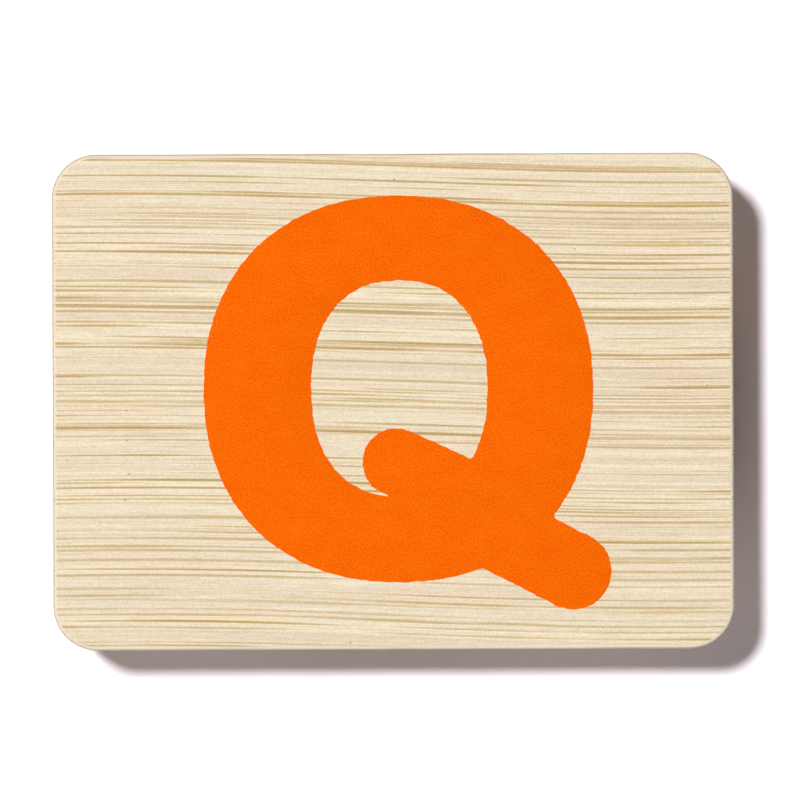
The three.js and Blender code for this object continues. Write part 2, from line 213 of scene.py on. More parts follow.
for spacing, thin, thick, left_out, colour_depth, shift in BUNDLE_LAYERS:
    section = wire(tree, "ShaderNodeCombineXYZ", {
        "X": calc(tree, "ADD", calc(tree, "DIVIDE", across, spacing), shift),
        "Y": calc(tree, "ADD", calc(tree, "DIVIDE", depth, spacing), shift),
    }).outputs[0]
    cell = cells(tree, section, BUNDLE_SCATTER)
    away = calc(tree, "MULTIPLY", cell.outputs["Distance"], spacing)
    picks = wire(tree, "ShaderNodeSeparateColor", {"Color": cell.outputs["Color"]}).outputs
    run = wire(tree, "ShaderNodeCombineXYZ", {
        "X": calc(tree, "DIVIDE", spot["X"], FADE_RUN),
        "Y": calc(tree, "MULTIPLY", picks["Red"], 91.0),
        "Z": calc(tree, "MULTIPLY", picks["Green"], 57.0),
    }).outputs[0]
    along = cloud(tree, run, 1.0)
    thickness = ramp(tree, picks["Green"], 0.0, 1.0, thin, thick)
    radius = calc(tree, "MULTIPLY", thickness, ramp(tree, along, 0.3, 0.7, *SWELLING))
    present = calc(tree, "GREATER_THAN", picks["Red"], left_out)
    strength = ramp(tree, picks["Blue"], 0.0, 1.0, FAINTEST * colour_depth, colour_depth)
    weight = calc(tree, "MULTIPLY", present, strength)
    fill = calc(tree, "MULTIPLY", weight, ramp(tree, along, 0.30, 0.55, 0.3, 1.0))
    reach = calc(tree, "DIVIDE", away, radius)
    core = ramp(tree, reach, *FIBRE_EDGE)
    heart = ramp(tree, reach, *HEART_EDGE)
    rim = ramp(tree, away, calc(tree, "ADD", radius, HALO), radius)
    bundle_fill = calc(tree, "MAXIMUM", bundle_fill, calc(tree, "MULTIPLY", core, fill))
    dark = calc(tree, "MULTIPLY", weight, ramp(tree, along, 0.25, 0.6, 0.35, 1.0))
    heart_line = calc(tree, "MAXIMUM", heart_line, calc(tree, "MULTIPLY", heart, dark))
    pale_rim = calc(tree, "MAXIMUM", pale_rim, calc(tree, "MULTIPLY", rim, weight))
tone = ramp(tree, cloud(tree, stretched(tree, grain, TONE_RUN, TONE_WIDTH)), 0.34, 0.66)
thread = cloud(tree, stretched(tree, grain, THREAD_RUN, THREAD_WIDTH))
dust = cloud(tree, stretched(tree, grain, DUST_RUN, DUST_WIDTH))
thread_part = calc(tree, "MULTIPLY", thread, 1 - DUST_SHARE)
fine = calc(tree, "ADD", thread_part, calc(tree, "MULTIPLY", dust, DUST_SHARE))
shade = ramp(tree, fine, 0.3, 0.7, *FINE_SHADES)
warm_shade = calc(tree, "POWER", shade, RED_POWER)
cold_shade = calc(tree, "POWER", shade, BLUE_POWER)
tints = {"Red": warm_shade, "Green": shade, "Blue": cold_shade}
tint = wire(tree, "ShaderNodeCombineColor", tints).outputs[0]
colour = blend(tree, tone, given["Flesh"], given["Blush"])
colour = blend(tree, pale_rim, colour, given["Rim"])
colour = blend(tree, bundle_fill, colour, given["Fibre"])
colour = blend(tree, calc(tree, "MULTIPLY", heart_line, HEART_DEPTH), colour, given["Heart"])
colour = blend(tree, 1.0, colour, tint, "MULTIPLY")
speck_place = scaled(tree, grain, (1 / SPECK_RUN, 1 / SPECK_WIDTH, 0.0))
speck_cell = cells(tree, speck_place, 1.0)
speck_picks = wire(tree, "ShaderNodeSeparateColor", {"Color": speck_cell.outputs["Color"]}).outputs
speck_size = ramp(tree, speck_picks["Green"], 0.0, 1.0, *SPECK_SIZES)
speck = ramp(tree, speck_cell.outputs["Distance"], speck_size, calc(tree, "MULTIPLY", speck_size, 0.3))
speck = calc(tree, "MULTIPLY", speck, calc(tree, "LESS_THAN", speck_picks["Red"], SPECK_SHARE))
normal = tree.nodes.new("ShaderNodeTexCoord").outputs["Normal"]
facing = calc(tree, "ABSOLUTE", wire(tree, "ShaderNodeSeparateXYZ", {0: normal}).outputs["Z"])
speck = calc(tree, "MULTIPLY", speck, calc(tree, "GREATER_THAN", facing, FLAT_ENOUGH))
colour = blend(tree, calc(tree, "MULTIPLY", speck, SPECK_DEPTH), colour, given["Heart"])
tree.links.new(colour, result["Color"])
sunk = calc(tree, "SUBTRACT", calc(tree, "MULTIPLY", fine, 0.6), calc(tree, "MULTIPLY", bundle_fill, 0.5))
tree.links.new(sunk, result["Height"])
tree.links.new(ramp(tree, calc(tree, "ADD", bundle_fill, fine), 0.2, 1.4, 0.66, 0.5), result["Roughness"])

# Sanding along the deck's edges, with a painted highlight: the distance in from a round-cornered outline
# gives one mask for the sanded arris, painted paler partly as sanded fibre and partly as a highlight, and one
# for the sawn side below it.
sanded_and_highlit_edge, given, result = shader_group(
    "sanded_and_highlit_edge",
    {"Vector": "Vector", "Half Length": "Float", "Half Width": "Float", "Corner": "Float", "Reach": "Float"},
    {"Arris": "Float", "Side": "Float"},
)
tree = sanded_and_highlit_edge
place = wire(tree, "ShaderNodeSeparateXYZ", {0: given["Vector"]}).outputs
over = []
for axis, half in (("X", "Half Length"), ("Y", "Half Width")):
    flat_half = calc(tree, "SUBTRACT", given[half], given["Corner"])
    over.append(calc(tree, "SUBTRACT", calc(tree, "ABSOLUTE", place[axis]), flat_half))
past = [calc(tree, "MAXIMUM", reach, 0.0) for reach in over]
squares = [calc(tree, "MULTIPLY", reach, reach) for reach in past]
corner_away = calc(tree, "SQRT", calc(tree, "ADD", *squares))
inner_away = calc(tree, "MINIMUM", calc(tree, "MAXIMUM", *over), 0.0)
inset = calc(tree, "SUBTRACT", given["Corner"], calc(tree, "ADD", corner_away, inner_away))
side_start = calc(tree, "MULTIPLY", given["Reach"], 0.45)
side = ramp(tree, inset, side_start, calc(tree, "MULTIPLY", given["Reach"], 0.1))
tree.links.new(side, result["Side"])
arris = ramp(tree, inset, given["Reach"], calc(tree, "MULTIPLY", given["Reach"], 0.5))
tree.links.new(calc(tree, "SUBTRACT", arris, side), result["Arris"])


def bamboo_finish(name, grain_turn, half_length, half_width):
    """Bare sanded bamboo, its grain turned about Z, rougher where the edges were sanded and painted paler
    there, partly as sanded fibre and partly as a painted highlight.
    """
    material, tree, shader, own = new_finish(name)
    turn = {"Vector": own, "Rotation": (0.0, 0.0, grain_turn)}
    figure = wire(tree, "ShaderNodeGroup", {
        "Vector": wire(tree, "ShaderNodeMapping", turn).outputs[0],
        "Flesh": display(241, 221, 194),
        "Blush": display(236, 216, 189),
        "Rim": display(255, 243, 213),
        "Fibre": display(213, 175, 108),
        "Heart": display(156, 127, 92),
    }, node_tree=bamboo_figure)
    sanding = wire(tree, "ShaderNodeGroup", {
        "Vector": own,
        "Half Length": half_length / MM,
        "Half Width": half_width / MM,
        "Corner": DECK_CORNER / MM,
        "Reach": SANDED_EDGE / MM,
    }, node_tree=sanded_and_highlit_edge)
    # The arris is painted paler, partly as sanded fibre and partly as a painted highlight; the sawn side
    # below it is darker.
    worn = calc(tree, "MULTIPLY", sanding.outputs["Arris"], ARRIS_PALE_AND_HIGHLIGHT)
    sawn = calc(tree, "MULTIPLY", sanding.outputs["Side"], SIDE_DARK)
    colour = blend(tree, worn, figure.outputs["Color"], display(252, 241, 220))
    colour = blend(tree, sawn, colour, display(196, 168, 126))
    tree.links.new(colour, shader.inputs["Base Color"])
    rough = calc(tree, "ADD", figure.outputs["Roughness"], calc(tree, "MULTIPLY", worn, 0.2))
    tree.links.new(rough, shader.inputs["Roughness"])
    shader.inputs["Specular IOR Level"].default_value = 0.12
    relief(tree, shader, figure.outputs["Height"], WOOD_RELIEF)
    return material


def round_cornered(length, width, corner):
    """Outline of a plate with round corners: points and outward normals, anticlockwise, close together."""
    outline = []
    for quarter, (right, up) in enumerate(((1, 1), (-1, 1), (-1, -1), (1, -1))):
        centre = Vector((right * (length / 2 - corner), up * (width / 2 - corner)))
        for step in range(CORNER_STEPS + 1):
            angle = math.pi / 2 * (quarter + step / CORNER_STEPS)
            normal = Vector((math.cos(angle), math.sin(angle)))
            outline.append((centre + normal * corner, normal))
        straight = (length if quarter % 2 == 0 else width) - 2 * corner
        runs = max(1, round(straight / OUTLINE_SPACING))
        start, normal = outline[-1]
        heading = Vector((-normal.y, normal.x))
        outline += [(start + heading * straight * run / runs, normal) for run in range(1, runs)]
    return outline


def eased_levels(low, high, low_ease, high_ease):
    """Heights of a block's rings with their insets: a quarter round at each end."""
    levels = []
    for step in range(EASE_STEPS + 1):
        angle = math.pi / 2 * step / EASE_STEPS
        levels.append((low_ease * (1 - math.sin(angle)), low + low_ease * (1 - math.cos(angle))))
    for step in range(EASE_STEPS + 1):
        angle = math.pi / 2 * step / EASE_STEPS
        levels.append((high_ease * (1 - math.cos(angle)), high - high_ease * (1 - math.sin(angle))))
    return levels


def sanded_block(outline, levels, wander):
    """Block over an outline, ring by ring, whose sides wander by a little as hand sanding leaves them."""
    bm = bmesh.new()
    rings = []
    for inset, height in levels:
        ring = []
        for point, normal in outline:
            wave = noise.noise(Vector((point.x, point.y, height)) / SANDING_SWELL)
            spot = point - normal * (inset + wander * (0.5 + 0.5 * wave))
            ring.append(bm.verts.new((spot.x, spot.y, height)))
        rings.append(ring)
    for lower, upper in zip(rings, rings[1:]):
        for i in range(len(lower)):
            j = (i + 1) % len(lower)
            bm.faces.new((lower[i], lower[j], upper[j], upper[i]))
    bm.faces.new(list(reversed(rings[0])))
    bm.faces.new(rings[-1])
    return bm


def add_piece(name, bm, finish, body, node, at=Matrix.Identity(4)):
    """Make a finished mesh a piece of the car that stands for one CAD node and moves with its body."""
    mesh = bpy.data.meshes.new(name)
    bm.to_mesh(mesh)
    bm.free()
    mesh.shade_smooth()
    mesh.set_sharp_from_angle(angle=SHARP_ANGLE)
    mesh.materials.append(finish)
    piece = bpy.data.objects.new(name, mesh)
    bpy.context.scene.collection.objects.link(piece)
    piece.matrix_world = at
    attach(piece, body)
    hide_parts(node)
    return piece


deck_low, deck_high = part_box("deck_face_ply")
deck_length = deck_high.x - deck_low.x
deck_width = deck_high.y - deck_low.y
deck_outline = round_cornered(deck_length, deck_width, DECK_CORNER)
plies = {}
for layer, grain_turn, low_ease, high_ease in (
    ("face", GRAIN_LEAN, PLY_EDGE, SANDED_EDGE),
    ("core", math.pi / 2 - GRAIN_LEAN, PLY_EDGE, PLY_EDGE),
    ("back", 0.0, SANDED_EDGE, PLY_EDGE),
):
    node = f"deck_{layer}_ply"
    low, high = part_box(node)
    finish = bamboo_finish(f"bamboo_{layer}", grain_turn, deck_length / 2, deck_width / 2)
    levels = eased_levels(low.z, high.z, low_ease, high_ease)
    block = sanded_block(deck_outline, levels, EDGE_WANDER)
    plies[layer] = add_piece(f"bamboo_{layer}", block, finish, "car_body", node)


# Printed letter
# One thick coat of opaque orange ink, screen-printed on the sanded face: a full round bowl with a narrow
# counter, and a tail whose round head lies in the counter and whose foot stands out at the lower right.
# The edge of the ink creeps a little along the fibres.
BOWL_WIDTH = 40.0 * MM
BOWL_HEIGHT = 39.7 * MM
BOWL_FULLNESS = 2.2
COUNTER_WIDTH = 18.1 * MM
COUNTER_HEIGHT = 22.2 * MM
COUNTER_FULLNESS = 2.3
COUNTER_SHIFT = Vector((0.1, 0.05)) * MM
TAIL_HEAD = Vector((-0.24, -7.52)) * MM
TAIL_HEAD_RADIUS = 3.47 * MM
TAIL_HEAD_RUN = Vector((7.4, -3.4)) * MM
TAIL_FOOT = Vector((17.87, -18.75)) * MM
TAIL_FOOT_RADIUS = 3.95 * MM
TAIL_FOOT_RUN = Vector((7.3, -3.75)) * MM
INK_DEPTH = 0.07 * MM
INK_ROUND = 0.03 * MM
INK_CREEP = 0.09 * MM
CREEP_RUN = 0.9 * MM
CREEP_WIDTH = 0.45 * MM
INK_RELIEF = 0.01 * MM
SPECKLES_PER_MM = 5.5
INK_STEPS = 260
SLIVER = 0.001 * MM
INK_SPACING = 0.5 * MM


def full_round(width, height, fullness, centre):
    """Outline between an ellipse and a rectangle, anticlockwise."""
    points = []
    for step in range(INK_STEPS):
        angle = 2 * math.pi * step / INK_STEPS
        across, up = math.cos(angle), math.sin(angle)
        x = math.copysign(abs(across) ** (2 / fullness), across) * width / 2
        y = math.copysign(abs(up) ** (2 / fullness), up) * height / 2
        points.append(centre + Vector((x, y)))
    return points


def inside_round(point, width, height, fullness, centre):
    reach = point - centre
    return abs(2 * reach.x / width) ** fullness + abs(2 * reach.y / height) ** fullness < 1


def round_bar(first, last, radius):
    """Outline of a bar with round ends, anticlockwise."""
    heading = math.atan2((last - first).y, (last - first).x)
    points = []
    for centre, start in ((last, heading - math.pi / 2), (first, heading + math.pi / 2)):
        for step in range(INK_STEPS // 4 + 1):
            angle = start + math.pi * step / (INK_STEPS // 4)
            points.append(centre + radius * Vector((math.cos(angle), math.sin(angle))))
    sides = []
    for start, end in zip(points, points[1:] + points[:1]):
        steps = max(1, round((end - start).length / INK_SPACING))
        sides += [start.lerp(end, step / steps) for step in range(steps)]
    return sides


def inside_bar(point, first, last, radius):
    run = last - first
    share = min(1.0, max(0.0, (point - first).dot(run) / run.length_squared))
    return (point - first.lerp(last, share)).length < radius


def longest_run(points, keep):
    """The points of a closed outline that pass a test, in order from the first one after the gap."""
    flags = [keep(point) for point in points]
    start = next(i for i in range(len(points)) if flags[i] and not flags[i - 1])
    turned_points = points[start:] + points[:start]
    turned_flags = flags[start:] + flags[:start]
    return [point for point, flag in zip(turned_points, turned_flags) if flag]


def crept(points, seed):
    """Outline with its points moved in and out a little, as ink creeps along the fibres."""
    moved = []
    for i, point in enumerate(points):
        ahead = points[(i + 1) % len(points)] - points[i - 1]
        normal = Vector((ahead.y, -ahead.x)).normalized()
        wave = noise.fractal(Vector((point.x / CREEP_RUN, point.y / CREEP_WIDTH, seed)), 0.8, 2.0, 3)
        moved.append(point + normal * INK_CREEP * wave)
    return moved


letter_low, letter_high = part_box("printed_letter")
letter_centre = Vector((letter_low.x + BOWL_WIDTH / 2, letter_high.y - BOWL_HEIGHT / 2))
bowl = (BOWL_WIDTH, BOWL_HEIGHT, BOWL_FULLNESS, letter_centre)
counter = (COUNTER_WIDTH, COUNTER_HEIGHT, COUNTER_FULLNESS, letter_centre + COUNTER_SHIFT)
head_start = letter_centre + TAIL_HEAD
foot_end = letter_centre + TAIL_FOOT
head = (head_start, head_start + TAIL_HEAD_RUN, TAIL_HEAD_RADIUS)
foot = (foot_end - TAIL_FOOT_RUN, foot_end, TAIL_FOOT_RADIUS)
bowl_side = longest_run(full_round(*bowl), lambda p: not inside_bar(p, *foot))
foot_side = longest_run(round_bar(*foot), lambda p: not inside_round(p, *bowl))
counter_side = longest_run(full_round(*counter), lambda p: not inside_bar(p, *head))
head_side = longest_run(round_bar(*head), lambda p: inside_round(p, *counter))
letter_curve = bpy.data.curves.new("orange_print", "CURVE")
letter_curve.dimensions = "2D"
letter_curve.fill_mode = "BOTH"
letter_curve.extrude = INK_DEPTH / 2 - INK_ROUND
letter_curve.bevel_depth = INK_ROUND
letter_curve.bevel_resolution = 2
letter_curve.offset = -INK_ROUND
for seed, points in enumerate((bowl_side + foot_side, counter_side + head_side[::-1])):
    spline = letter_curve.splines.new("POLY")
    spline.points.add(len(points) - 1)
    spline.use_cyclic_u = True
    for spot, point in zip(spline.points, crept(points, seed)):
        spot.co = (point.x, point.y, 0.0, 1.0)
drawn = bpy.data.objects.new("letter_outline", letter_curve)
drawn_mesh = bpy.data.meshes.new_from_object(drawn)
drawn_mesh.transform(Matrix.Translation((0.0, 0.0, letter_low.z + INK_DEPTH / 2)))
bpy.data.objects.remove(drawn)
bm = bmesh.new()
bm.from_mesh(drawn_mesh)
bmesh.ops.remove_doubles(bm, verts=bm.verts, dist=SLIVER)

ink, tree, shader, own = new_finish("orange_ink")
speckle = cloud(tree, scaled(tree, own, (SPECKLES_PER_MM,) * 3))
patch = cloud(tree, scaled(tree, own, (0.35, 0.5, 0.35)))
shade = calc(tree, "ADD", calc(tree, "MULTIPLY", speckle, 0.85), calc(tree, "MULTIPLY", patch, 0.15))
ink_colour = blend(tree, ramp(tree, shade, 0.3, 0.7), display(246, 91, 0), display(263, 122, 5))
tree.links.new(ink_colour, shader.inputs["Base Color"])
tree.links.new(ramp(tree, speckle, 0.3, 0.7, 0.66, 0.8), shader.inputs["Roughness"])
shader.inputs["Specular IOR Level"].default_value = 0.02
relief(tree, shader, speckle, INK_RELIEF)
add_piece("orange_print", bm, ink, "car_body", "printed_letter")


# Underframe beam
# A planed bar of beech under the middle of the deck, glued and screwed to it, with its lower edges eased.
# It is drilled across for the axles, from below for the deck screws and at each end for the couplings.
BEAM_EASE = 0.6 * MM
BEAM_WANDER = 0.02 * MM
FIT_GAP = 0.1 * MM
HOLE_SIDES = 64
SWAY_RUN = 30.0
SWAY_WIDTH = 7.0
SWAY_SIDEWAYS = 2.4
PORE_RUN = 1.4
PORE_WIDTH = 0.07
SEASON_SIZES = (55.0, 1.3, 3.4)
FLECK_SIZES = (2.6, 0.55, 0.8)
FLECK_DEPTH = 0.5
BEECH_RELIEF = 0.015 * MM

beech_figure, given, result = shader_group(
    "beech_figure",
    {"Vector": "Vector", "Pale": "Color", "Warm": "Color", "Fleck": "Color"},
    {"Color": "Color", "Height": "Float", "Roughness": "Float"},
)
tree = beech_figure
sway = cloud(tree, stretched(tree, given["Vector"], SWAY_RUN, SWAY_WIDTH), 1.0)
sway_y = calc(tree, "MULTIPLY", calc(tree, "SUBTRACT", sway, 0.5), SWAY_SIDEWAYS)
sway_vector = wire(tree, "ShaderNodeCombineXYZ", {"Y": sway_y, "Z": sway_y}).outputs[0]
swayed = wire(tree, "ShaderNodeVectorMath", {0: given["Vector"], 1: sway_vector}, operation="ADD").outputs[0]
season = cloud(tree, scaled(tree, swayed, [1 / size for size in SEASON_SIZES]))
pores = cloud(tree, stretched(tree, swayed, PORE_RUN, PORE_WIDTH))
fleck_vector = scaled(tree, swayed, [1 / size for size in FLECK_SIZES])
fleck_cell = wire(tree, "ShaderNodeTexVoronoi", {"Vector": fleck_vector, "Scale": 1.0})
fleck_pick = wire(tree, "ShaderNodeSeparateColor", {"Color": fleck_cell.outputs["Color"]}).outputs["Red"]
fleck_size = ramp(tree, fleck_pick, 0.35, 1.0, 0.02, 0.19)
fleck = ramp(tree, fleck_cell.outputs["Distance"], fleck_size, calc(tree, "MULTIPLY", fleck_size, 0.4))
colour = blend(tree, ramp(tree, season, 0.34, 0.66), given["Pale"], given["Warm"])
colour = blend(tree, ramp(tree, pores, 0.56, 0.74, 0.0, 0.35), colour, given["Fleck"])
colour = blend(tree, calc(tree, "MULTIPLY", fleck, FLECK_DEPTH), colour, given["Fleck"])
tree.links.new(colour, result["Color"])
ridges = calc(tree, "MULTIPLY", season, 0.3)
tree.links.new(calc(tree, "SUBTRACT", ridges, ramp(tree, pores, 0.5, 0.75)), result["Height"])
tree.links.new(ramp(tree, pores, 0.3, 0.7, 0.42, 0.6), result["Roughness"])


def beech_finish(name, turn, shift):
    """Sanded and thinly waxed beech, with its grain turned and its figure taken from another place."""
    material, tree, shader, own = new_finish(name)
    placed = wire(tree, "ShaderNodeMapping", {"Vector": own, "Rotation": turn, "Location": shift}).outputs[0]
    figure = wire(tree, "ShaderNodeGroup", {
        "Vector": placed,
        "Pale": display(229, 199, 161),
        "Warm": display(216, 178, 135),
        "Fleck": display(172, 124, 84),
    }, node_tree=beech_figure)
    tree.links.new(figure.outputs["Color"], shader.inputs["Base Color"])
    tree.links.new(figure.outputs["Roughness"], shader.inputs["Roughness"])
    shader.inputs["Specular IOR Level"].default_value = 0.35
    relief(tree, shader, figure.outputs["Height"], BEECH_RELIEF)
    return material


def eased(profile, reach, steps=4):
    """Profile with each inner corner cut back by up to the given reach and rounded."""
    rounded = [profile[0]]
    for before, corner, after in zip(profile, profile[1:], profile[2:]):
        before, corner, after = Vector(before), Vector(corner), Vector(after)
        back = min(reach, 0.45 * (before - corner).length)
        ahead = min(reach, 0.45 * (after - corner).length)
        start = corner + (before - corner).normalized() * back
        end = corner + (after - corner).normalized() * ahead
        for step in range(steps + 1):
            share = step / steps
            rounded.append(tuple(start.lerp(corner, share).lerp(corner.lerp(end, share), share)))
    return rounded + [profile[-1]]


def turned(profile, sides, closed=False):
    """Piece turned about its own Z from (radius, height) pairs; a closed profile makes a ring."""
    bm = bmesh.new()
    rings = []
    for radius, height in profile:
        if radius < 1e-7:
            rings.append([bm.verts.new((0.0, 0.0, height))])
            continue
        angles = [2 * math.pi * side / sides for side in range(sides)]
        rings.append([bm.verts.new((radius * math.cos(a), radius * math.sin(a), height)) for a in angles])
    pairs = list(zip(rings, rings[1:]))
    if closed:
        pairs.append((rings[-1], rings[0]))
    for lower, upper in pairs:
        for i in range(sides):
            j = (i + 1) % sides
            below = [lower[i % len(lower)], lower[j % len(lower)]]
            above = [upper[j % len(upper)], upper[i % len(upper)]]
            bm.faces.new(list(dict.fromkeys(below + above)))
    return bm


def bar(radius, start, end):
    """Half section of a plain round bar."""
    return [(0, start), (radius, start), (radius, end), (0, end)]


def aimed(place, direction):
    """Placement of a turned piece whose own Z points along a direction."""
    return Matrix.Translation(place) @ Vector(direction).to_track_quat("Z", "Y").to_matrix().to_4x4()


def cutter(bm, at):
    """Loose mesh that only shapes a hole in another piece."""
    mesh = bpy.data.meshes.new("cutter")
    bm.to_mesh(mesh)
    bm.free()
    tool = bpy.data.objects.new("cutter", mesh)
    bpy.context.scene.collection.objects.link(tool)
    tool.matrix_world = at
    return tool


def drilled(piece, tools):
    """Cut the tools out of a piece and leave its mesh with the holes made."""
    for tool in tools:
        bore = piece.modifiers.new("bore", "BOOLEAN")
        bore.operation = "DIFFERENCE"
        bore.solver = "EXACT"
        bore.object = tool
    bpy.context.view_layer.update()
    shaped = bpy.data.meshes.new_from_object(piece.evaluated_get(bpy.context.evaluated_depsgraph_get()))
    piece.modifiers.clear()
    bm = bmesh.new()
    bm.from_mesh(shaped)
    bmesh.ops.dissolve_degenerate(bm, dist=SLIVER, edges=bm.edges)
    bmesh.ops.holes_fill(bm, edges=bm.edges, sides=4)
    bm.to_mesh(shaped)
    bm.free()
    piece.data = shaped
    shaped.set_sharp_from_angle(angle=SHARP_ANGLE)


beam_low, beam_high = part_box("underframe_beam")
beam_width = beam_high.y - beam_low.y
beam_height = beam_high.z - beam_low.z
beam_outline = round_cornered(beam_width, beam_height, BEAM_EASE)
beam_levels = eased_levels(beam_low.x, beam_high.x, BEAM_EASE / 2, BEAM_EASE / 2)
beam_block = sanded_block(beam_outline, beam_levels, BEAM_WANDER)
beam_middle = (beam_low.z + beam_high.z) / 2
lay_along = Matrix(((0, 0, 1, 0), (1, 0, 0, 0), (0, 1, 0, beam_middle), (0, 0, 0, 1)))
beam_block.transform(lay_along)
beam = add_piece("beech_beam", beam_block, beech_finish("beech_bar", (0.0, 0.0, 0.0), (0.0, 0.0, 0.0)),
                 "car_body", "underframe_beam")
beam_tools = []
for end in ("front", "rear"):
    axle_low, axle_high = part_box(f"axle_{end}")
    axle_middle = (axle_low + axle_high) / 2
    hole_radius = (axle_high.z - axle_low.z) / 2 + FIT_GAP
    hole = turned(bar(hole_radius, -beam_width, beam_width), HOLE_SIDES)
    beam_tools.append(cutter(hole, aimed(axle_middle, (0, 1, 0))))


# Deck screws
# Two countersunk steel screws, zinc plated, driven from below through the beam and into the deck's core.
# The cross recess is pressed into the head, which is sunk a little under the wood.
SCREW_GAP = 0.15 * MM
SCREW_POINT = 1.2 * MM
RECESS_DEPTH = 0.8 * MM
RECESS_SLOT = 0.55 * MM
RECESS_MARGIN = 0.8 * MM
RECESS_TAPER = 0.6
SCREW_EASE = 0.12 * MM
METAL_RELIEF = 0.001 * MM
DECK_SCREW_SHANK = 1.3 * MM

plated_wear, given, result = shader_group(
    "plated_wear",
    {"Vector": "Vector", "Bright": "Color", "Dull": "Color"},
    {"Color": "Color", "Roughness": "Float", "Height": "Float"},
)
tree = plated_wear
smudge = cloud(tree, scaled(tree, given["Vector"], (0.6, 0.6, 0.6)), 3.0)
grit = cloud(tree, scaled(tree, given["Vector"], (9.0, 9.0, 9.0)))
stroke = cloud(tree, scaled(tree, given["Vector"], (14.0, 14.0, 0.9)))
tree.links.new(blend(tree, ramp(tree, smudge, 0.35, 0.7), given["Bright"], given["Dull"]), result["Color"])
worn = calc(tree, "ADD", calc(tree, "MULTIPLY", smudge, 0.5), calc(tree, "MULTIPLY", grit, 0.5))
tree.links.new(ramp(tree, worn, 0.3, 0.7, 0.28, 0.36), result["Roughness"])
tree.links.new(calc(tree, "ADD", grit, stroke), result["Height"])


def metal_finish(name, bright, dull):
    """Plated or bright metal with smudges, fine grit and faint strokes."""
    material, tree, shader, own = new_finish(name)
    inputs = {"Vector": own, "Bright": bright, "Dull": dull}
    wear = wire(tree, "ShaderNodeGroup", inputs, node_tree=plated_wear)
    shader.inputs["Metallic"].default_value = 1.0
    tree.links.new(wear.outputs["Color"], shader.inputs["Base Color"])
    tree.links.new(wear.outputs["Roughness"], shader.inputs["Roughness"])
    relief(tree, shader, wear.outputs["Height"], METAL_RELIEF)
    return material


def screw_profile(length, shank, head, grow):
    """Half section of a countersunk screw from its point to its head, or of a hole grown round it."""
    return [
        (0.0, -grow),
        (shank + grow, SCREW_POINT),
        (shank + grow, length - (head - shank)),
        (head + grow, length),
    ]


def screw_tools(length, shank, head, at):
    """Cutter for a screw's hole and countersink, open above the head."""
    above = length + 2 * MM
    profile = screw_profile(length, shank, head, SCREW_GAP)
    return cutter(turned(profile + [(profile[-1][0], above), (0.0, above)], HOLE_SIDES), at)


def add_screw(name, length, shank, head, at, node):
    profile = eased(screw_profile(length, shank, head, 0.0) + [(0.0, length)], SCREW_EASE)
    screw = add_piece(name, turned(profile, HOLE_SIDES), zinc, "car_body", node, at)
    slots = []
    for quarter in (0.0, math.pi / 2):
        slot = bmesh.new()
        bmesh.ops.create_cube(slot, size=1.0)
        slot.transform(Matrix.Diagonal((2 * (head - RECESS_MARGIN), RECESS_SLOT, 2 * RECESS_DEPTH, 1.0)))
        for vert in slot.verts:
            if vert.co.z < 0:
                vert.co.x *= RECESS_TAPER
        slots.append(cutter(slot, at @ Matrix.Translation((0, 0, length)) @ Matrix.Rotation(quarter, 4, "Z")))
    drilled(screw, slots)
    for tool in slots:
        bpy.data.objects.remove(tool)
    return screw


zinc = metal_finish("zinc_plate", display(206, 209, 212), display(176, 180, 184))
deck_tools = []
for end in ("front", "rear"):
    node = f"deck_screw_{end}"
    low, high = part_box(node)
    head = (high.x - low.x) / 2
    at = aimed(((low.x + high.x) / 2, 0.0, high.z), (0, 0, -1))
    add_screw(f"zinc_deck_screw_{end}", high.z - low.z, DECK_SCREW_SHANK, head, at, node)
    deck_tools.append(screw_tools(high.z - low.z, DECK_SCREW_SHANK, head, at))
beam_tools += deck_tools
for layer in ("back", "core"):
    drilled(plies[layer], deck_tools)


# Couplings
# At each end a steel cup is let into the beam, flush with the end of the deck. A nickel-plated ring magnet
# fills the cup, and one countersunk screw through both holds them in the end grain.
MAGNET_SCREW_SHANK = 1.0 * MM
CUP_EASE = 0.15 * MM
CUP_WALL = 0.8 * MM
CUP_FLOOR = 0.8 * MM

